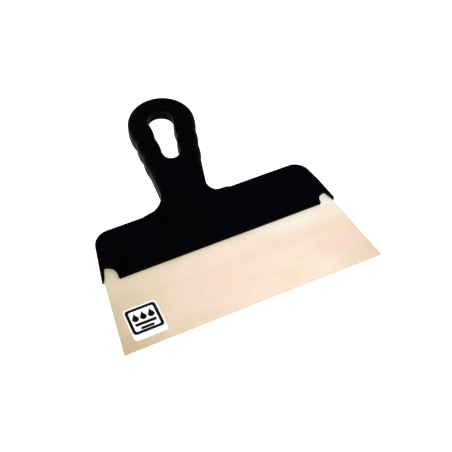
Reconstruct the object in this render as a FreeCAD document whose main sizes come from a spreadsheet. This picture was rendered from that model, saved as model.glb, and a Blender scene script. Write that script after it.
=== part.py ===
import FreeCAD, Part
import math
import os
import Sketcher

# A drywall taping knife that lies on its back: X runs along the working edge, Y from the edge
# to the handle, Z out of the front. Every body is drawn with y = 0 on the working edge and then
# placed so that the origin is the middle of the whole knife's footprint, on the rest face.

DRIVING_SIZES = {
    # blade, a trapezoid of stainless sheet with a narrower tang inside the holder
    "edge_length": 250.0,
    "blade_thickness": 0.7,
    "side_slant": 7.9,
    "tang_step_line": 91.0,
    "tang_inset": 5.5,
    "tang_corner": 12.0,
    "tang_cover": 12.0,
    "edge_corner_radius": 0.8,
    # holder, the wide bar that grips the blade
    "lip_line": 74.2,
    "holder_depth": 52.0,
    "holder_slant": 11.5,
    "ear_wall": 2.2,
    "ear_cover": 0.2,
    "ear_slant": 18.0,
    "shoulder_radius": 16.0,
    "notch_radius": 9.0,
    "left_notch_rise": 6.6,
    "right_notch_rise": 1.8,
    "left_ear_trim": 4.0,
    "right_ear_trim": 1.2,
    "ear_trim_width": 5.0,
    "notch_corner": 1.3,
    "back_wall": 4.0,
    "lip_thickness": 3.6,
    "ridge_thickness": 6.6,
    "ridge_run": 24.0,
    # loop handle
    "handle_front": 18.5,
    "head_radius": 33.4,
    "head_offset": 2.3,
    "handle_reach": 98.6,
    "handle_lean": 8.6,
    "handle_taper": 6.9,
    "root_overlap": 26.0,
    "leg_width": 20.9,
    "hole_rise": 4.4,
    "hole_drop": 40.4,
    "left_neck_radius": 19.0,
    "right_neck_radius": 9.6,
    "lobe_pitch": 19.0,
    "lobe_radius": 48.0,
    "lobe_inset": 1.2,
    "hole_lobe_inset": 0.6,
    "lobe_blend": 3.0,
    "grip_rounding": 5.5,
    "back_rounding": 2.4,
    "rim_rounding": 2.2,
    "lip_rounding": 0.8,
    "parting_chamfer": 0.3,
    "ramp_back": 3.2,
    "ramp_front": 27.0,
    "mound_half_width": 21.0,
    "mound_slope_run": 20.0,
    # fits and fasteners
    "blade_clearance": 0.15,
    "screw_radius": 1.5,
    "pilot_clearance": 0.05,
    "clear_hole_gap": 0.25,
    "screw_head_radius": 3.2,
    "screw_head_height": 1.9,
    "head_sink": 2.2,
    "head_gap": 0.3,
    "holder_screw_reach": 4.6,
    "handle_screw_reach": 9.6,
    "pilot_spare": 0.5,
    "screw_point": 1.2,
    "screw_crown_radius": 2.5,
    "drive_slot_length": 3.6,
    "drive_slot_width": 0.8,
    "drive_slot_depth": 1.1,
    "screw_line_drop": 13.0,
    "screw_end_margin": 17.0,
    "head_screw_rise": 26.0,
    "upper_neck_screw_drop": 59.0,
    "lower_neck_screw_drop": 86.0,
    "core_width": 8.0,
    "core_top": 3.0,
    "leg_core_low": 42.0,
    "leg_core_high": 2.0,
    # label on the blade
    "label_width": 31.2,
    "label_height": 33.0,
    "label_thickness": 0.12,
    "label_corner": 3.0,
    "label_side_gap": 13.6,
    "label_edge_gap": 8.7,
}

HOLDER_SCREWS = 5
OUTER_LOBES = 3
HOLE_LOBES = 2

doc = FreeCAD.newDocument("taping_knife")
sheet = doc.addObject("Spreadsheet::Sheet", "Sizes")
for row, (alias, value) in enumerate(DRIVING_SIZES.items(), start=1):
    sheet.set(f"A{row}", alias)
    sheet.set(f"B{row}", str(value))
    sheet.setAlias(f"B{row}", alias)
doc.recompute()


def size(alias):
    """The name by which an expression reads one driving size."""
    return f"Sizes.{alias}"


def value(expression):
    """The number that an expression has now, for a first drawing and for finding edges."""
    number = sheet.evalExpression(expression)
    return float(getattr(number, "Value", number))


# Places and sizes that follow from the driving sizes, as expressions.
SIDE_SLOPE = f"tan({size('side_slant')} * 1 deg)"
HOLDER_SLOPE = f"tan({size('holder_slant')} * 1 deg)"
EAR_SLOPE = f"tan({size('ear_slant')} * 1 deg)"
LEAN_SIN = f"sin({size('handle_lean')} * 1 deg)"
LEAN_COS = f"cos({size('handle_lean')} * 1 deg)"
TAPER_SIN = f"sin({size('handle_taper')} * 1 deg)"
TAPER_COS = f"cos({size('handle_taper')} * 1 deg)"
EDGE_HALF = f"({size('edge_length')} / 2)"
LIP = size("lip_line")
HOLDER_TOP = f"({LIP} + {size('holder_depth')})"
STEP_LINE = size("tang_step_line")
BLADE_HALF_AT_LIP = f"({EDGE_HALF} - {LIP} * {SIDE_SLOPE})"
BLADE_HALF_AT_STEP = f"({EDGE_HALF} - {STEP_LINE} * {SIDE_SLOPE})"
TANG_HALF = f"({BLADE_HALF_AT_STEP} - {size('tang_inset')})"
TANG_TOP = f"({HOLDER_TOP} - {size('tang_cover')})"
TANG_CORNER_LINE = f"({TANG_TOP} - {size('tang_corner')})"
TANG_TOP_HALF = f"({TANG_HALF} - {size('tang_corner')})"
HOLDER_HALF_AT_LIP = f"({BLADE_HALF_AT_LIP} + {size('ear_wall')})"
HOLDER_HALF_AT_TOP = f"({HOLDER_HALF_AT_LIP} - {size('holder_depth')} * {HOLDER_SLOPE})"
EAR_INNER_AT_LIP = f"({BLADE_HALF_AT_LIP} - {size('ear_cover')})"
SPLIT = f"({size('back_wall')} + {size('blade_thickness')})"
LIP_FRONT = f"({SPLIT} + {size('lip_thickness')})"
RIDGE_FRONT = f"({SPLIT} + {size('ridge_thickness')})"
HANDLE_FRONT = size("handle_front")
HEAD_X = size("head_offset")
HEAD_Y = f"({HOLDER_TOP} + {size('handle_reach')})"
OVERALL = f"({HEAD_Y} + {size('head_radius')})"
ROOT_DROP = f"(({size('handle_reach')} + {size('root_overlap')}) / {LEAN_COS})"
NECK_X = f"({HEAD_X} - {size('handle_reach')} / {LEAN_COS} * {LEAN_SIN})"
HOLE_RADIUS = f"({size('head_radius')} - {size('leg_width')})"
RAMP_START = f"({HOLDER_TOP} - {size('ramp_back')})"
RAMP_END = f"({HOLDER_TOP} + {size('ramp_front')})"
SCREW_LINE = f"({TANG_TOP} - {size('screw_line_drop')})"
SCREW_END = f"({TANG_HALF} - {size('screw_end_margin')})"
PILOT_RADIUS = f"({size('screw_radius')} + {size('pilot_clearance')})"
CLEAR_RADIUS = f"({size('screw_radius')} + {size('clear_hole_gap')})"
SINK_RADIUS = f"({size('screw_head_radius')} + {size('clear_hole_gap')})"
BEYOND = "5"


def holder_screw_place(index):
    """Place of one of the screws in the row along the holder."""
    share = 2.0 * index / (HOLDER_SCREWS - 1) - 1.0
    return f"({SCREW_END} * {share})", SCREW_LINE


def on_handle_axis(drop):
    """A place on the leaning handle axis, a distance below the middle of the head."""
    return f"({HEAD_X} - ({drop}) * {LEAN_SIN})", f"({HEAD_Y} - ({drop}) * {LEAN_COS})"


HOLDER_SCREW_PLACES = [holder_screw_place(index) for index in range(HOLDER_SCREWS)]
HANDLE_SCREW_DROPS = [
    size("lower_neck_screw_drop"),
    size("upper_neck_screw_drop"),
    f"-{size('head_screw_rise')}",
]
HANDLE_SCREW_PLACES = [on_handle_axis(drop) for drop in HANDLE_SCREW_DROPS]


def new_body(label):
    """A body whose origin is moved so that the whole knife is centred on its footprint."""
    body = doc.addObject("PartDesign::Body", label)
    body.Label = label
    body.setExpression(".Placement.Base.y", f"-{OVERALL} / 2")
    return body


def new_sketch(body, name, plane="XY_Plane", height=None):
    """A sketch on one of the body's own origin planes, raised by an expression."""
    sketch = body.newObject("Sketcher::SketchObject", f"{body.Name}_{name}")
    plane_feature = next(f for f in body.Origin.OriginFeatures if f.Role == plane)
    sketch.AttachmentSupport = [(plane_feature, "")]
    sketch.MapMode = "FlatFace"
    if height:
        sketch.setExpression(".AttachmentOffset.Base.z", height)
    return sketch


def lean_with_handle(sketch):
    """Draw this sketch from the middle of the head, with its Y axis along the handle."""
    sketch.setExpression(".AttachmentOffset.Base.x", HEAD_X)
    sketch.setExpression(".AttachmentOffset.Base.y", HEAD_Y)
    sketch.setExpression(".AttachmentOffset.Rotation.Angle", f"-{size('handle_lean')} * 1 deg")
    return sketch


def bind(sketch, constraint, expression):
    """Add a constraint whose size is an expression."""
    index = sketch.addConstraint(constraint)
    sketch.setExpression(f"Constraints[{index}]", expression)


def pin(sketch, geometry, point, place):
    """Hold one point of a sketch at two expressions."""
    for kind, expression in zip(("DistanceX", "DistanceY"), place):
        held = Sketcher.Constraint(kind, -1, 1, geometry, point, value(expression))
        bind(sketch, held, expression)


def flat_arc_centre(start, end, radius, turn):
    """The centre of the shorter arc of a radius between two points."""
    chord = end - start
    rise = math.sqrt(radius ** 2 - chord.Length ** 2 / 4)
    across = FreeCAD.Vector(-chord.y, chord.x, 0).normalize()
    return (start + end) / 2 + across * rise * turn


def draw_outline(sketch, corners, arcs=None):
    """A closed outline through the corners. An arc, given by the side that it replaces, turns
    anticlockwise (1) or clockwise (-1). It has its radius, and its centre if it is no flat arc."""
    arcs = arcs or {}
    points = [FreeCAD.Vector(value(x), value(y), 0) for x, y in corners]
    starts = []
    for side, start in enumerate(points):
        end = points[(side + 1) % len(points)]
        if side not in arcs:
            starts.append((sketch.addGeometry(Part.LineSegment(start, end)), 1, 2))
            continue
        centre_place, radius, turn = arcs[side]
        if centre_place:
            centre = FreeCAD.Vector(value(centre_place[0]), value(centre_place[1]), 0)
        else:
            centre = flat_arc_centre(start, end, value(radius), turn)
        circle = Part.Circle(centre, FreeCAD.Vector(0, 0, 1), value(radius))
        low, high = (start, end) if turn > 0 else (end, start)
        angles = [math.atan2(p.y - centre.y, p.x - centre.x) for p in (low, high)]
        if angles[1] < angles[0]:
            angles[1] += 2 * math.pi
        arc = sketch.addGeometry(Part.ArcOfCircle(circle, *angles))
        starts.append((arc, 1, 2) if turn > 0 else (arc, 2, 1))
    for side, (geometry, start_point, end_point) in enumerate(starts):
        following, next_start, _ = starts[(side + 1) % len(starts)]
        sketch.addConstraint(
            Sketcher.Constraint("Coincident", geometry, end_point, following, next_start)
        )
        pin(sketch, geometry, start_point, corners[side])
    for side, (_, radius, _) in arcs.items():
        geometry = starts[side][0]
        bind(sketch, Sketcher.Constraint("Radius", geometry, value(radius)), radius)


def draw_circle(sketch, place, radius):
    """A circle whose centre and radius are expressions."""
    centre = FreeCAD.Vector(value(place[0]), value(place[1]), 0)
    circle = Part.Circle(centre, FreeCAD.Vector(0, 0, 1), value(radius))
    geometry = sketch.addGeometry(circle)
    pin(sketch, geometry, 3, place)
    bind(sketch, Sketcher.Constraint("Radius", geometry, value(radius)), radius)


def settle(feature):
    """Recompute, and stop if the new feature failed."""
    doc.recompute()
    if not feature.isValid():
        raise RuntimeError(f"{feature.Name} failed: {feature.State}")


def pad(body, sketch, length):
    """Raise a sketch by an expression."""
    feature = body.newObject("PartDesign::Pad", f"{sketch.Name}_pad")
    feature.Profile = sketch
    feature.setExpression("Length", length)
    settle(feature)


def pocket(body, sketch, length, upwards=False, both_ways=False):
    """Cut a sketch into the body, and make sure that it removed something."""
    before = body.Shape.Volume
    feature = body.newObject("PartDesign::Pocket", f"{sketch.Name}_pocket")
    feature.Profile = sketch
    feature.setExpression("Length", length)
    feature.Reversed = upwards
    feature.Midplane = both_ways
    settle(feature)
    if body.Shape.Volume >= before:
        raise RuntimeError(f"{feature.Name} cut nothing")


def soften(body, name, wanted, amount, kind="PartDesign::Fillet", measure="Radius"):
    """Round or bevel the edges of the body's tip that the test picks."""
    base = body.Tip
    numbers = [n for n, edge in enumerate(base.Shape.Edges, start=1) if wanted(edge)]
    if not numbers:
        raise RuntimeError(f"{name} finds no edge")
    feature = body.newObject(kind, f"{body.Name}_{name}")
    feature.Base = (base, [f"Edge{n}" for n in numbers])
    feature.setExpression(measure, amount)
    settle(feature)


def fillet(body, name, wanted, radius):
    """Round the edges that the test picks."""
    soften(body, name, wanted, radius)


def chamfer(body, name, wanted, width):
    """Bevel the edges that the test picks."""
    soften(body, name, wanted, width, kind="PartDesign::Chamfer", measure="Size")


NEAR = 0.02
CLOSE = 0.5


def middle(edge):
    """The point half way along an edge."""
    return edge.valueAt((edge.FirstParameter + edge.LastParameter) / 2)


def upright(edge):
    """Whether an edge runs straight along Z."""
    box = edge.BoundBox
    return box.ZLength > NEAR and box.XLength < NEAR and box.YLength < NEAR


def upright_at(x, y):
    """A test for the upright edge at a place."""
    place_x, place_y = value(x), value(y)

    def test(edge):
        point = middle(edge)
        return upright(edge) and math.hypot(point.x - place_x, point.y - place_y) < CLOSE

    return test


def level_at(height, beyond=None):
    """A test for edges that lie flat at a height, all of them or those past a line in Y."""
    level = value(height)
    line = value(beyond) if beyond else -math.inf

    def test(edge):
        box = edge.BoundBox
        flat = abs(box.ZMin - level) < NEAR and abs(box.ZMax - level) < NEAR
        return flat and middle(edge).y > line

    return test


def mirrored(right_half):
    """An outline's corners, from those of its right half read from the edge to the handle."""
    return right_half + [(f"-{x}", y) for x, y in reversed(right_half)]


def blade_corners(gap):
    """The blade's outline, grown by a gap inside the holder."""
    return mirrored([
        (f"({EDGE_HALF} + {gap})", "0"),
        (f"({BLADE_HALF_AT_STEP} + {gap})", f"({STEP_LINE} + {gap})"),
        (f"({TANG_HALF} + {gap})", f"({STEP_LINE} + {gap})"),
        (f"({TANG_HALF} + {gap})", f"({TANG_CORNER_LINE} + {gap})"),
        (f"({TANG_TOP_HALF} + {gap})", f"({TANG_TOP} + {gap})"),
    ])


def make_blade():
    """Stainless sheet: the trapezoid in use, and the tang with its screw holes."""
    body = new_body("blade")
    outline = new_sketch(body, "outline", height=size("back_wall"))
    draw_outline(outline, blade_corners("0"))
    for place in HOLDER_SCREW_PLACES:
        draw_circle(outline, place, CLEAR_RADIUS)
    pad(body, outline, size("blade_thickness"))

    def working_corner(edge):
        return upright(edge) and abs(middle(edge).y) < NEAR

    fillet(body, "corners", working_corner, size("edge_corner_radius"))


def draw_holder(sketch):
    """The holder's outline before its shoulders are rounded."""
    draw_outline(sketch, mirrored([(HOLDER_HALF_AT_LIP, LIP), (HOLDER_HALF_AT_TOP, HOLDER_TOP)]))


def wall_place(radius, drop, inset="0"):
    """A point on the handle's right wall, a distance below the middle of its round end."""
    return f"(({radius} - {drop} * {TAPER_SIN}) / {TAPER_COS} - {inset})", f"-{drop}"


def lobe_wall(radius, lobes, inset):
    """The right wall's lobe ends, from the lowest up."""
    drops = [f"({size('lobe_pitch')} * {count})" for count in range(lobes, 0, -1)]
    return [wall_place(radius, drop, inset) for drop in drops]


def draw_grip_loop(sketch, low_corners, lobe_ends, top_centre, top_radius, low_arc=None):
    """A loop about the handle's axis that closes in towards the blade. From the corner at its low
    end, each side has straight runs, then flat lobes up to the round top. Lobes bulge out of the
    plastic, so they turn one way around the handle and the other way around its hole."""
    top_corner = (f"({top_radius} * {TAPER_COS})", f"({top_centre} - {top_radius} * {TAPER_SIN})")
    right = low_corners + lobe_ends + [top_corner]
    left = [(f"-{x}", y) for x, y in reversed(right)]
    around_hole = low_arc is not None
    turn = -1 if around_hole else 1
    lobes = len(lobe_ends)
    first = len(low_corners)
    arcs = {first + count: (None, size("lobe_radius"), turn) for count in range(lobes)}
    top_side = len(right) - 1
    arcs[top_side] = (("0", top_centre), top_radius, 1)
    for count in range(lobes):
        arcs[top_side + 1 + count] = (None, size("lobe_radius"), turn)
    if around_hole:
        arcs[len(right) + len(left) - 1] = low_arc
    draw_outline(sketch, right + left, arcs)


def add_silhouette(body, bottom, height):
    """The shape that both shells share: holder, rounded neck and shoulders, loop handle."""
    holder = new_sketch(body, "holder", height=bottom)
    draw_holder(holder)
    pad(body, holder, height)
    handle = lean_with_handle(new_sketch(body, "handle", height=bottom))
    head = size("head_radius")
    draw_grip_loop(
        handle,
        low_corners=[wall_place(head, ROOT_DROP)],
        lobe_ends=lobe_wall(head, OUTER_LOBES, size("lobe_inset")),
        top_centre="0",
        top_radius=head,
    )
    pad(body, handle, height)
    shoulders = [upright_at(HOLDER_HALF_AT_TOP, HOLDER_TOP)]
    shoulders.append(upright_at(f"-{HOLDER_HALF_AT_TOP}", HOLDER_TOP))
    fillet(
        body, "shoulders", lambda edge: any(test(edge) for test in shoulders),
        size("shoulder_radius"),
    )
    top_line, neck = value(HOLDER_TOP), value(NECK_X)

    def neck_edge(side):
        def test(edge):
            point = middle(edge)
            beside_neck = 0 < side * (point.x - neck) < value(head)
            return upright(edge) and beside_neck and abs(point.y - top_line) < CLOSE

        return test

    fillet(body, "left_neck", neck_edge(-1), size("left_neck_radius"))
    fillet(body, "right_neck", neck_edge(1), size("right_neck_radius"))
    hole = lean_with_handle(new_sketch(body, "hole", height=bottom))
    rise, drop = size("hole_rise"), size("hole_drop")
    low_radius = f"({HOLE_RADIUS} - {drop} * {TAPER_SIN})"
    low_corner = (f"({low_radius} * {TAPER_COS})", f"(-{drop} - {low_radius} * {TAPER_SIN})")
    draw_grip_loop(
        hole,
        low_corners=[low_corner],
        lobe_ends=lobe_wall(HOLE_RADIUS, HOLE_LOBES, f"-{size('hole_lobe_inset')}"),
        top_centre=rise,
        top_radius=f"({HOLE_RADIUS} + {rise} * {TAPER_SIN})",
        low_arc=(("0", f"-{drop}"), low_radius, 1),
    )
    pocket(body, hole, height, upwards=True)
    grip_start = value(RAMP_END)

    def lobe_joint(edge):
        return upright(edge) and middle(edge).y > grip_start

    fillet(body, "lobe_joints", lobe_joint, size("lobe_blend"))


def trim_ears(body):
    """End both ears a little above the lip line, each at its own height."""
    for side, name in ((-1, "left_ear_trim"), (1, "right_ear_trim")):
        trim = new_sketch(body, name)
        inner = f"({side} * ({HOLDER_HALF_AT_LIP} - {size('ear_trim_width')}))"
        outer = f"({side} * ({HOLDER_HALF_AT_LIP} + {BEYOND}))"
        below, above = f"({LIP} - {BEYOND})", f"({LIP} + {size(name)})"
        draw_outline(trim, [(inner, below), (outer, below), (outer, above), (inner, above)])
        pocket(body, trim, HANDLE_FRONT, upwards=True)


def make_back_shell():
    """Back half of the moulding, with the blade's seat and the sunk screw heads."""
    body = new_body("back_shell")
    add_silhouette(body, "0", SPLIT)
    fillet(body, "back_edges", level_at("0"), size("back_rounding"))
    chamfer(body, "parting", level_at(SPLIT), size("parting_chamfer"))
    seat = new_sketch(body, "seat", height=SPLIT)
    draw_outline(seat, blade_corners(size("blade_clearance")))
    pocket(body, seat, size("blade_thickness"))
    places = HOLDER_SCREW_PLACES + HANDLE_SCREW_PLACES
    clear_holes = new_sketch(body, "clear_holes")
    sinks = new_sketch(body, "sinks")
    for place in places:
        draw_circle(clear_holes, place, CLEAR_RADIUS)
        draw_circle(sinks, place, SINK_RADIUS)
    pocket(body, clear_holes, SPLIT, upwards=True)
    pocket(body, sinks, size("head_sink"), upwards=True)
    trim_ears(body)


def cut_front_profile(body):
    """Slope the front down from the handle to the thin lip, seen from the side."""
    profile = new_sketch(body, "side_profile", plane="YZ_Plane")
    above = f"({HANDLE_FRONT} + {BEYOND})"
    before = f"({LIP} - {BEYOND})"
    draw_outline(profile, [
        (before, above),
        (before, LIP_FRONT),
        (LIP, LIP_FRONT),
        (f"({LIP} + {size('ridge_run')})", RIDGE_FRONT),
        (RAMP_START, RIDGE_FRONT),
        (RAMP_END, HANDLE_FRONT),
        (RAMP_END, above),
    ])
    pocket(body, profile, f"{size('edge_length')} * 2", both_ways=True)


def cut_wings(body, side):
    """Slope one wing of the holder down from the mound at the foot of the handle."""
    wing = new_sketch(body, "left_wing" if side < 0 else "right_wing", plane="XZ_Plane")
    above = f"({HANDLE_FRONT} + {BEYOND})"
    inner = f"({NECK_X} + {side} * {size('mound_half_width')})"
    outer = f"({NECK_X} + {side} * ({size('mound_half_width')} + {size('mound_slope_run')}))"
    far = f"({side} * {size('edge_length')})"
    draw_outline(wing, [
        (inner, HANDLE_FRONT), (outer, RIDGE_FRONT), (far, RIDGE_FRONT), (far, above), (inner, above),
    ])
    pocket(body, wing, RAMP_END)


def cut_notch(body, side, name):
    """Open the lip beside the thin ear that runs down over the blade's side edge."""
    notch = new_sketch(body, name, height=SPLIT)
    radius, rise = size("notch_radius"), size(f"{name}_rise")
    centre_x = f"({side} * ({EAR_INNER_AT_LIP} - ({rise} + {radius}) * {EAR_SLOPE}))"
    centre_y = f"({LIP} + {rise})"
    inner_x = f"({centre_x} - {side} * {radius})"
    below = f"({LIP} - {BEYOND})"
    ear_below = f"({side} * ({EAR_INNER_AT_LIP} + {BEYOND} * {EAR_SLOPE}))"
    corners = [
        (centre_x, f"({centre_y} + {radius})"), (inner_x, centre_y), (inner_x, below),
        (ear_below, below),
    ]
    draw_outline(notch, corners, {0: ((centre_x, centre_y), radius, side)})
    pocket(body, notch, HANDLE_FRONT, upwards=True)
    fillet(body, f"{name}_corner", upright_at(inner_x, LIP), size("notch_corner"))


def cut_leg_core(body, side):
    """Hollow one leg of the loop from inside, to keep the moulding's walls even."""
    core = lean_with_handle(new_sketch(body, "left_core" if side < 0 else "right_core", height=SPLIT))
    half = f"({size('core_width')} / 2)"
    leg_middle_radius = f"({size('head_radius')} - {size('leg_width')} / 2)"
    low_middle, low = wall_place(leg_middle_radius, size("leg_core_low"))
    high_middle, high = wall_place(leg_middle_radius, size("leg_core_high"))
    draw_outline(core, [
        (f"({side} * ({low_middle} - {half}))", low),
        (f"({side} * ({low_middle} + {half}))", low),
        (f"({side} * ({high_middle} + {half}))", high),
        (f"({side} * ({high_middle} - {half}))", high),
    ])
    pocket(body, core, f"{HANDLE_FRONT} - {SPLIT} - {size('core_top')}", upwards=True)


def on_front(edge):
    """Whether an edge lies on the holder's front, between the lip and the ridge."""
    box = edge.BoundBox
    return box.ZMin > value(LIP_FRONT) - NEAR and box.ZMax < value(RIDGE_FRONT) + NEAR


def round_wings(body):
    """Round the holder's front edges, except those along the lip and the foot of the mound."""
    top_line = value(HOLDER_TOP)

    def wing_rim(edge):
        box = edge.BoundBox
        across = box.YLength < NEAR and abs(middle(edge).y - top_line) > NEAR
        return on_front(edge) and not across and box.XLength > NEAR

    fillet(body, "wing_rim", wing_rim, size("rim_rounding"))


def round_lip(body):
    """Take the sharp edge off the lip between the two notches."""
    lip_line = value(LIP)

    def lip_rim(edge):
        on_lip = abs(middle(edge).y - lip_line) < NEAR
        return on_lip and on_front(edge) and edge.BoundBox.XMin < 0 < edge.BoundBox.XMax

    fillet(body, "lip_rim", lip_rim, size("lip_rounding"))


def make_front_shell():
    """Front half of the moulding, with blind holes for the screws and hollow legs."""
    body = new_body("front_shell")
    add_silhouette(body, SPLIT, f"{HANDLE_FRONT} - {SPLIT}")
    fillet(body, "grip_edges", level_at(HANDLE_FRONT, beyond=HOLDER_TOP), size("grip_rounding"))
    chamfer(body, "parting", level_at(SPLIT), size("parting_chamfer"))
    cut_front_profile(body)
    for side in (-1, 1):
        cut_wings(body, side)
    round_wings(body)
    cut_notch(body, -1, "left_notch")
    cut_notch(body, 1, "right_notch")
    round_lip(body)
    for side in (-1, 1):
        cut_leg_core(body, side)
    groups = (("holder", HOLDER_SCREW_PLACES), ("handle", HANDLE_SCREW_PLACES))
    for name, places in groups:
        pilots = new_sketch(body, f"{name}_pilots", height=SPLIT)
        for place in places:
            draw_circle(pilots, place, PILOT_RADIUS)
        pocket(body, pilots, f"{size(f'{name}_screw_reach')} + {size('pilot_spare')}", upwards=True)
    trim_ears(body)


def make_screw(label, place, reach):
    """Self-tapping screw driven from the back, with its head below the rest face."""
    body = new_body(label)
    body.setExpression(".Placement.Base.x", place[0])
    body.setExpression(".Placement.Base.y", f"{place[1]} - {OVERALL} / 2")
    body.setExpression(".Placement.Base.z", size("head_gap"))
    profile = new_sketch(body, "profile", plane="XZ_Plane")
    head_top = f"({size('head_sink')} - {size('head_gap')})"
    end = f"({SPLIT} + {reach} - {size('head_gap')})"
    rim = f"({head_top} - {size('screw_head_height')} / 2)"
    crown = size("screw_crown_radius")
    draw_outline(profile, [
        ("0", f"({head_top} - {size('screw_head_height')})"),
        (crown, f"({head_top} - {size('screw_head_height')})"),
        (size("screw_head_radius"), rim),
        (size("screw_head_radius"), head_top),
        (size("screw_radius"), head_top),
        (size("screw_radius"), f"({end} - {size('screw_point')})"),
        ("0", end),
    ])
    turned = body.newObject("PartDesign::Revolution", f"{label}_turned")
    turned.Profile = profile
    turned.ReferenceAxis = (profile, ["V_Axis"])
    turned.Angle = 360
    settle(turned)
    for across in (False, True):
        slot = new_sketch(body, "slot_across" if across else "slot_along")
        long_half = f"({size('drive_slot_length')} / 2)"
        short_half = f"({size('drive_slot_width')} / 2)"
        half_x, half_y = (short_half, long_half) if across else (long_half, short_half)
        draw_outline(slot, mirrored([(half_x, f"-{half_y}"), (half_x, half_y)]))
        pocket(body, slot, size("drive_slot_depth"), upwards=True)


def make_label():
    """Printed paper label on the blade, near its left corner."""
    body = new_body("label")
    outline = new_sketch(body, "outline", height=SPLIT)
    left = f"({size('label_side_gap')} - {EDGE_HALF})"
    right = f"({left} + {size('label_width')})"
    low = size("label_edge_gap")
    high = f"({low} + {size('label_height')})"
    draw_outline(outline, [(left, low), (right, low), (right, high), (left, high)])
    pad(body, outline, size("label_thickness"))
    fillet(body, "corners", upright, size("label_corner"))


make_blade()
make_back_shell()
make_front_shell()
for number, screw_place in enumerate(HOLDER_SCREW_PLACES, start=1):
    make_screw(f"holder_screw_{number}", screw_place, size("holder_screw_reach"))
for number, screw_place in enumerate(HANDLE_SCREW_PLACES, start=1):
    make_screw(f"handle_screw_{number}", screw_place, size("handle_screw_reach"))
make_label()
doc.recompute()

for item in doc.Objects:
    if "Invalid" in item.State or "Error" in item.State:
        raise RuntimeError(f"{item.Name} failed: {item.State}")
bodies = [item for item in doc.Objects if item.TypeId == "PartDesign::Body"]
for item in bodies:
    if item.Shape.isNull() or not item.Shape.isValid():
        raise RuntimeError(f"{item.Label} has no valid shape")
os.makedirs("parts", exist_ok=True)
for item in bodies:
    item.Shape.exportStep(f"parts/{item.Label}.step")
    box = item.Shape.BoundBox
    print(f"{item.Label}: {item.Shape.Volume:.0f} mm3, {len(item.Shape.Solids)} solid", box)
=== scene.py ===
import math
import bmesh
import bpy
from mathutils import Matrix, Vector


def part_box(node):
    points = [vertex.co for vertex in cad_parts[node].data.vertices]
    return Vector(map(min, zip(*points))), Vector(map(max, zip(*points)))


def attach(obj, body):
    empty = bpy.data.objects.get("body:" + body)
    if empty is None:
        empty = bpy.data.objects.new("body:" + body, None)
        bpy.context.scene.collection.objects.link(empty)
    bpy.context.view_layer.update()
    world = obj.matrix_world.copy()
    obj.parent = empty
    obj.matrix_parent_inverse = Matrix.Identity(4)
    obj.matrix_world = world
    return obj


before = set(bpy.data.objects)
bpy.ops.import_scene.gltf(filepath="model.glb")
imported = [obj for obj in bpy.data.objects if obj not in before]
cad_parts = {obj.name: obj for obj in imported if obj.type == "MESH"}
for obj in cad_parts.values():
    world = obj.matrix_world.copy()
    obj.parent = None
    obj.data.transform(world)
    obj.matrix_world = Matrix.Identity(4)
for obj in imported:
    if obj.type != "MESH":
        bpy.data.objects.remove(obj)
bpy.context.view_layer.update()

MM = 0.001

BLADE_LOW, BLADE_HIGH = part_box("blade")
LABEL_LOW, LABEL_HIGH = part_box("label")
HALF_EDGE = BLADE_HIGH.x
EDGE = BLADE_LOW.y
SIDE_SLOPE = math.tan(math.radians(7.9))
EVEN = (1.0, 1.0, 1.0)

# Camera: its rise over the blade's plane, its turn to the left of the edge's middle, and its lens.
VIEW_RISE = math.radians(53.2)
VIEW_TURN = math.radians(24.75)
VIEW_DISTANCE = 0.909
VIEW_TARGET_FROM_EDGE = 0.0884
VIEW_TARGET_SIDE = 0.0101
LENS = 78.2
SENSOR = 36.0

# Studio: a light table, white walls under a dimmer ceiling, and two soft lights.
FLOOR_REACH = 60.0
FLOOR_GAP = 0.2 * MM
WALL_TOP = 0.30
CEILING_START = 0.55
CEILING_LEVEL = 0.44

# The printed mark: a thick frame around a row of three drops and two bars.
INK_THICKNESS = 0.03 * MM
CORNER_STEPS = 6
FRAME_CORNER = 3.2 * MM
FRAME_LINE = 2.8 * MM
DROP_PITCH = 7.3 * MM
DROP_WIDTH = 6.2 * MM
DROP_TAIL = 3.0 * MM


def make_camera():
    """A long lens looking down over the blade's left corner."""
    target = Vector((VIEW_TARGET_SIDE, EDGE + VIEW_TARGET_FROM_EDGE, BLADE_HIGH.z))
    level = math.cos(VIEW_RISE)
    towards_camera = Vector((
        -level * math.sin(VIEW_TURN), -level * math.cos(VIEW_TURN), math.sin(VIEW_RISE),
    ))
    data = bpy.data.cameras.new("camera")
    data.lens = LENS
    data.sensor_width = SENSOR
    camera = bpy.data.objects.new("camera", data)
    camera.location = target + towards_camera * VIEW_DISTANCE
    camera.rotation_euler = towards_camera.to_track_quat("Z", "Y").to_euler()
    bpy.context.scene.collection.objects.link(camera)
    bpy.context.scene.camera = camera


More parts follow.
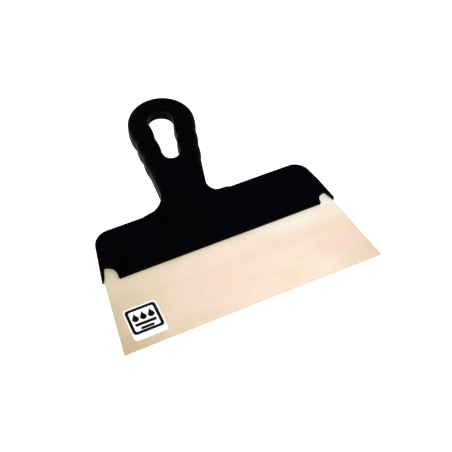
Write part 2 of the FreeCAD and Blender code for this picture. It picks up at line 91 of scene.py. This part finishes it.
class Finish:
    """A material being built: its nodes, its links and its main shader."""

    def __init__(self, name):
        self.material = bpy.data.materials.new(name)
        self.material.use_nodes = True
        self.nodes = self.material.node_tree.nodes
        self.links = self.material.node_tree.links
        self.shader = self.nodes["Principled BSDF"]
        self.place = self.nodes.new("ShaderNodeTexCoord").outputs["Object"]

    def set(self, **sockets):
        """Plain values on the main shader's sockets."""
        for name, value in sockets.items():
            self.shader.inputs[name.replace("_", " ")].default_value = value

    def stretched(self, scale):
        """Object coordinates, scaled apart on each axis."""
        mapping = self.nodes.new("ShaderNodeMapping")
        mapping.inputs["Scale"].default_value = scale
        self.links.new(self.place, mapping.inputs["Vector"])
        return mapping.outputs["Vector"]

    def noise(self, scale, detail=3.0, roughness=0.5, stretch=EVEN):
        """Noise on object coordinates."""
        made = self.nodes.new("ShaderNodeTexNoise")
        made.inputs["Scale"].default_value = scale
        made.inputs["Detail"].default_value = detail
        made.inputs["Roughness"].default_value = roughness
        self.links.new(self.stretched(stretch), made.inputs["Vector"])
        return made.outputs["Fac"]

    def ramp(self, factor, stops):
        """Colours or grey levels along a factor."""
        made = self.nodes.new("ShaderNodeValToRGB")
        elements = made.color_ramp.elements
        while len(elements) < len(stops):
            elements.new(0.5)
        for element, (position, colour) in zip(elements, stops):
            element.position = position
            element.color = (*colour, 1.0) if isinstance(colour, tuple) else (colour,) * 3 + (1.0,)
        self.links.new(factor, made.inputs["Fac"])
        return made.outputs["Color"]

    def between(self, factor, low, high):
        """A factor moved from 0..1 to a new range."""
        made = self.nodes.new("ShaderNodeMapRange")
        made.inputs["To Min"].default_value = low
        made.inputs["To Max"].default_value = high
        self.links.new(factor, made.inputs["Value"])
        return made.outputs["Result"]

    def math(self, operation, *values):
        """One sum, whose values are plain or other nodes' outputs."""
        made = self.nodes.new("ShaderNodeMath")
        made.operation = operation
        for socket, value in zip(made.inputs, values):
            if isinstance(value, float):
                socket.default_value = value
            else:
                self.links.new(value, socket)
        return made.outputs["Value"]

    def map(self, level, start, end, way="SMOOTHSTEP"):
        """How far a level is from a start to an end, from 0 to 1."""
        made = self.nodes.new("ShaderNodeMapRange")
        made.interpolation_type = way
        made.inputs["From Min"].default_value = start
        made.inputs["From Max"].default_value = end
        self.links.new(level, made.inputs["Value"])
        return made.outputs["Result"]

    def axes(self):
        """A point's place on each axis."""
        parts = self.nodes.new("ShaderNodeSeparateXYZ")
        self.links.new(self.place, parts.inputs["Vector"])
        return parts.outputs

    def along(self, axis, start, end, way="SMOOTHSTEP"):
        """How far a point is from one place on an axis to another, from 0 to 1."""
        return self.map(self.axes()[axis], start, end, way)

    def slanted_side(self, inner, outer):
        """How far a point is across a strip along the blade's slanted sides, from 0 to 1."""
        axes = self.axes()
        aside = self.math("ABSOLUTE", axes["X"])
        widened = self.math("MULTIPLY_ADD", axes["Y"], SIDE_SLOPE, -EDGE * SIDE_SLOPE)
        return self.map(self.math("ADD", aside, widened), inner, outer)

    def smear(self, middle, reach):
        """A soft oval spot, 1 in its middle and 0 at its rim."""
        mapping = self.nodes.new("ShaderNodeMapping")
        mapping.vector_type = "TEXTURE"
        mapping.inputs["Location"].default_value = middle
        mapping.inputs["Scale"].default_value = reach
        self.links.new(self.place, mapping.inputs["Vector"])
        spot = self.nodes.new("ShaderNodeTexGradient")
        spot.gradient_type = "SPHERICAL"
        self.links.new(mapping.outputs["Vector"], spot.inputs["Vector"])
        return spot.outputs["Fac"]

    def blend(self, factor, low, high):
        """A mix of two colours, each a plain colour or another node's output."""
        made = self.nodes.new("ShaderNodeMix")
        made.data_type = "RGBA"
        for name, value in (("A", low), ("B", high)):
            socket = next(s for s in made.inputs if s.name == name and s.type == "RGBA")
            if isinstance(value, tuple):
                socket.default_value = (*value, 1.0)
            else:
                self.links.new(value, socket)
        self.links.new(factor, made.inputs["Factor"])
        return next(s for s in made.outputs if s.type == "RGBA")

    def times(self, first, second):
        """Two factors multiplied."""
        return self.math("MULTIPLY", first, second)

    def relief(self, height, depth):
        """Relief of a real depth on the main shader."""
        made = self.nodes.new("ShaderNodeBump")
        made.inputs["Distance"].default_value = depth
        self.links.new(height, made.inputs["Height"])
        self.links.new(made.outputs["Normal"], self.shader.inputs["Normal"])

    def colour(self, output):
        """Lead a colour to the main shader."""
        self.links.new(output, self.shader.inputs["Base Color"])

    def roughness(self, output):
        """Lead a roughness to the main shader."""
        self.links.new(output, self.shader.inputs["Roughness"])


def display(red, green, blue):
    """A colour as it looks on a display, turned into light."""
    levels = (level / 255 for level in (red, green, blue))
    return tuple(((level + 0.055) / 1.055) ** 2.4 for level in levels)


def sheet_tone(steel):
    """The sheet's own colour from its left side to its right."""
    return steel.ramp(steel.along("X", -HALF_EDGE, HALF_EDGE, "LINEAR"), [
        (0.0, display(206, 188, 156)), (0.08, display(215, 197, 168)),
        (0.18, display(228, 209, 185)), (0.30, display(238, 216, 196)),
        (0.50, display(245, 226, 207)), (0.80, display(244, 226, 208)),
        (1.0, display(230, 211, 189)),
    ])


def edge_tints(steel, tone):
    """Darker stretches along the working edge: its left corner, its middle and its right corner."""
    for start, end, fades_at, full_at, share, colour in (
        (-0.55, -1.0, 30 * MM, 0.0, 0.75, (190, 158, 122)),
        (0.3, -0.5, 22 * MM, 2 * MM, 0.30, (216, 196, 168)),
        (0.55, 1.0, 45 * MM, 4 * MM, 0.45, (228, 194, 168)),
    ):
        across = steel.along("X", HALF_EDGE * start, HALF_EDGE * end)
        upwards = steel.along("Y", EDGE + fades_at, EDGE + full_at)
        reach = steel.times(steel.times(across, upwards), share)
        tone = steel.blend(reach, tone, display(*colour))
    return tone


def painted_lip_sheen(steel, tone):
    """Painted sheen: a paler cream band under the holder's lip, with a near-white painted highlight
    on its right part that lifts the shade next to the lip.
    """
    under_lip = steel.along("Y", EDGE + 46 * MM, EDGE + 80 * MM)
    tone = steel.blend(steel.times(under_lip, 0.45), tone, display(240, 234, 206))
    # Painted highlight: near white toward the top right, over the band under the lip.
    painted_highlight = steel.times(under_lip, steel.along("X", -HALF_EDGE * 0.4, HALF_EDGE * 0.6))
    return steel.blend(painted_highlight, tone, display(255, 252, 239))


def warm_smears(steel, tone):
    """Three wide reddish spots, broken up by a mottle: how far across, how high and how wide."""
    mottle = steel.noise(42.0, detail=5.0, roughness=0.6, stretch=(0.7, 1.5, 1.0))
    mottle = steel.between(mottle, 0.0, 1.2)
    for across, up, reach_x, reach_y in ((-0.12, 36, 52, 34), (0.76, 30, 34, 20), (0.36, 52, 60, 14)):
        middle = (HALF_EDGE * across, EDGE + up * MM, BLADE_HIGH.z)
        spot = steel.smear(middle, (reach_x * MM, reach_y * MM, 30 * MM))
        tone = steel.blend(steel.times(spot, mottle), tone, display(243, 210, 198))
    return tone


def clouds(steel, tone, noise, start, end, share, colour):
    """Tint the sheet where a noise is high."""
    return steel.blend(steel.ramp(noise, [(start, 0.0), (end, share)]), tone, display(*colour))


def satin_stainless():
    """Stainless sheet, satin along the edge, with the warm smears of heat and handling."""
    steel = Finish("satin_stainless")
    steel.set(Metallic=0.30)
    tone = edge_tints(steel, sheet_tone(steel))
    # The band under the lip is painted sheen and a painted highlight.
    tone = warm_smears(steel, painted_lip_sheen(steel, tone))
    pink = steel.noise(15.0, detail=4.0, stretch=(0.8, 2.2, 1.0))
    tone = clouds(steel, tone, pink, 0.52, 0.70, 0.45, (246, 212, 195))
    green = steel.noise(11.0, detail=4.0, stretch=(1.0, 3.0, 1.3))
    tone = clouds(steel, tone, green, 0.52, 0.70, 0.42, (234, 224, 190))
    streaks = steel.noise(46.0, detail=5.0, roughness=0.6, stretch=(0.10, 7.0, 1.0))
    tone = clouds(steel, tone, streaks, 0.50, 0.72, 0.18, (214, 186, 158))
    # A greyer strip painted along the last millimetre of the blade's slanted sides.
    grey_side_strip = steel.slanted_side(HALF_EDGE - 1.0 * MM, HALF_EDGE - 0.3 * MM)
    tone = steel.blend(steel.times(grey_side_strip, 0.5), tone, display(176, 182, 172))
    rub = steel.noise(120.0, detail=4.0)
    tone = clouds(steel, tone, rub, 0.35, 0.75, 0.10, (200, 178, 155))
    steel.colour(tone)
    grain = steel.noise(90.0, detail=4.0, roughness=0.6, stretch=(0.06, 18.0, 1.0))
    steel.roughness(steel.between(grain, 0.48, 0.62))
    steel.relief(grain, 0.003 * MM)
    return steel.material


def moulded_black():
    """Black plastic with the fine grain of a spark-eroded mould and uneven gloss."""
    plastic = Finish("moulded_black")
    cloud = plastic.noise(30.0)
    plastic.colour(plastic.ramp(cloud, [
        (0.3, (0.0003, 0.0003, 0.0010)), (0.75, (0.0006, 0.0006, 0.0016)),
    ]))
    plastic.set(Specular_IOR_Level=0.012)
    plastic.roughness(plastic.between(plastic.noise(55.0, detail=4.0), 0.40, 0.55))
    eroded = plastic.noise(2600.0, detail=2.0, roughness=0.6)
    plastic.relief(eroded, 0.02 * MM)
    return plastic.material


def blackened_steel():
    """Screws with a dark finish, worn a little on the head."""
    steel = Finish("blackened_steel")
    steel.set(Metallic=0.9)
    worn = steel.ramp(steel.noise(700.0, detail=4.0), [(0.5, 0.0), (0.68, 1.0)])
    steel.colour(steel.blend(worn, (0.03, 0.03, 0.032), (0.16, 0.155, 0.15)))
    steel.roughness(steel.between(worn, 0.5, 0.32))
    return steel.material


def label_paper():
    """Coated white paper."""
    paper = Finish("label_paper")
    fibres = paper.noise(900.0)
    paper.colour(paper.ramp(fibres, [(0.2, (0.90, 0.90, 0.89)), (0.8, (0.97, 0.97, 0.965))]))
    paper.roughness(paper.between(paper.noise(260.0), 0.42, 0.58))
    paper.relief(fibres, 0.004 * MM)
    return paper.material


def print_ink():
    """Black ink, thin enough for the paper's fibres to show."""
    ink = Finish("print_ink")
    fibres = ink.noise(1200.0)
    ink.colour(ink.ramp(fibres, [(0.35, (0.0012, 0.0012, 0.0018)), (0.8, (0.003, 0.003, 0.0036))]))
    ink.roughness(ink.between(fibres, 0.4, 0.6))
    ink.set(Specular_IOR_Level=0.08)
    return ink.material


def dress(node, material):
    """Give a CAD node its finish."""
    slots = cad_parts[node].data.materials
    slots.clear()
    slots.append(material)


def make_piece(name, builder, material):
    """Turn a bmesh into an object at the origin, with its place in its mesh."""
    mesh = bpy.data.meshes.new(name)
    builder.to_mesh(mesh)
    builder.free()
    mesh.materials.append(material)
    piece = bpy.data.objects.new(name, mesh)
    bpy.context.scene.collection.objects.link(piece)
    return piece


def flat_loop(builder, width, height, corner):
    """The corners of a rounded rectangle, or of a circle if it is all corner."""
    verts = bmesh.ops.create_circle(builder, segments=4 * CORNER_STEPS, radius=corner)["verts"]
    turn = Matrix.Rotation(math.pi / (4 * CORNER_STEPS), 3, "Z")
    bmesh.ops.rotate(builder, verts=verts, cent=(0, 0, 0), matrix=turn)
    for vert in verts:
        vert.co.x += math.copysign(width / 2 - corner, vert.co.x)
        vert.co.y += math.copysign(height / 2 - corner, vert.co.y)
    return verts


def loop_edges(verts):
    """The edges between a loop's corners."""
    return list({edge for vert in verts for edge in vert.link_edges})


def fill(builder, verts):
    """Close a loop with one face."""
    bmesh.ops.contextual_create(builder, geom=loop_edges(verts))


def frame_shape(builder, width, height):
    """A flat frame between two rounded rectangles."""
    outer = flat_loop(builder, width, height, FRAME_CORNER)
    inner_corner = FRAME_CORNER - FRAME_LINE / 2
    inner = flat_loop(builder, width - 2 * FRAME_LINE, height - 2 * FRAME_LINE, inner_corner)
    bmesh.ops.bridge_loops(builder, edges=loop_edges(outer) + loop_edges(inner))


def bar_shape(builder, width, height):
    """A flat bar with rounded ends."""
    fill(builder, flat_loop(builder, width, height, height * 0.45))


def drop_shape(builder, width, tail):
    """A flat drop: a circle whose upper part is drawn up to a point."""
    radius = width / 2
    verts = flat_loop(builder, width, width, radius)
    for vert in verts:
        rise = max(vert.co.y / radius, 0.0)
        vert.co.x *= 1 - 0.92 * rise ** 2
        vert.co.y += tail * rise ** 3
    fill(builder, verts)


def print_mark(name, ink, shape, width, height, below_top, aside=0.0):
    """Print one shape on the label, raised by the ink's own thickness."""
    builder = bmesh.new()
    shape(builder, width, height)
    raised = bmesh.ops.extrude_face_region(builder, geom=list(builder.faces))["geom"]
    top = [item for item in raised if isinstance(item, bmesh.types.BMVert)]
    bmesh.ops.translate(builder, verts=top, vec=(0, 0, INK_THICKNESS))
    middle_x = (LABEL_LOW.x + LABEL_HIGH.x) / 2
    place = (middle_x + aside, LABEL_HIGH.y - below_top, LABEL_HIGH.z)
    bmesh.ops.translate(builder, verts=builder.verts, vec=place)
    bmesh.ops.recalc_face_normals(builder, faces=builder.faces)
    piece = make_piece(name, builder, ink)
    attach(piece, "root")


def print_label():
    """The frame, the row of drops and the two bars below it."""
    ink = print_ink()
    print_mark("label_frame", ink, frame_shape, 28.8 * MM, 26.0 * MM, below_top=14.3 * MM)
    for number, side in enumerate((-1, 0, 1), start=1):
        aside = side * DROP_PITCH
        print_mark(f"label_drop_{number}", ink, drop_shape, DROP_WIDTH, DROP_TAIL, 12.0 * MM, aside)
    print_mark("label_long_bar", ink, bar_shape, 20.0 * MM, 3.0 * MM, below_top=18.2 * MM)
    print_mark("label_short_bar", ink, bar_shape, 12.6 * MM, 2.7 * MM, below_top=22.6 * MM)


def dress_knife():
    """Every CAD node's finish."""
    plastic = moulded_black()
    screws = blackened_steel()
    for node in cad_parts:
        if "shell" in node:
            dress(node, plastic)
        elif "screw" in node:
            dress(node, screws)
    dress("blade", satin_stainless())
    dress("label", label_paper())


def make_floor():
    """A white light table, so that the shadows stay faint."""
    floor = Finish("light_table")
    white = (1.0, 1.0, 1.0, 1.0)
    floor.set(Base_Color=(0.80, 0.80, 0.80, 1.0), Roughness=0.9, Specular_IOR_Level=0.0)
    floor.set(Emission_Color=white, Emission_Strength=1.0)
    builder = bmesh.new()
    bmesh.ops.create_grid(builder, x_segments=1, y_segments=1, size=FLOOR_REACH)
    bmesh.ops.translate(builder, verts=builder.verts, vec=(0, 0, -FLOOR_GAP))
    make_piece("floor", builder, floor.material)


def make_light(name, place, size, power):
    """A soft square light aimed at the knife."""
    data = bpy.data.lights.new(name, "AREA")
    data.size = size
    data.energy = power
    light = bpy.data.objects.new(name, data)
    light.location = place
    light.rotation_euler = Vector(place).to_track_quat("Z", "Y").to_euler()
    bpy.context.scene.collection.objects.link(light)


def make_studio():
    """White walls all round under a dimmer ceiling, a key light over the edge and a fill."""
    world = bpy.data.worlds.new("studio")
    world.use_nodes = True
    nodes, links = world.node_tree.nodes, world.node_tree.links
    parts = nodes.new("ShaderNodeSeparateXYZ")
    links.new(nodes.new("ShaderNodeTexCoord").outputs["Generated"], parts.inputs["Vector"])
    walls = nodes.new("ShaderNodeValToRGB")
    levels = ((WALL_TOP, 1.0), (CEILING_START, CEILING_LEVEL))
    for stop, (height, level) in zip(walls.color_ramp.elements, levels):
        stop.position = height
        stop.color = (level, level, level, 1.0)
    links.new(parts.outputs["Z"], walls.inputs["Fac"])
    links.new(walls.outputs["Color"], nodes["Background"].inputs["Color"])
    nodes["Background"].inputs["Strength"].default_value = 1.0
    bpy.context.scene.world = world
    make_light("key", place=(-0.35, -1.1, 1.5), size=0.8, power=23.2)
    make_light("fill", place=(0.9, 0.2, 1.6), size=1.2, power=5.0)


make_camera()
dress_knife()
print_label()
make_floor()
make_studio()
bpy.context.scene.view_settings.view_transform = "Standard"
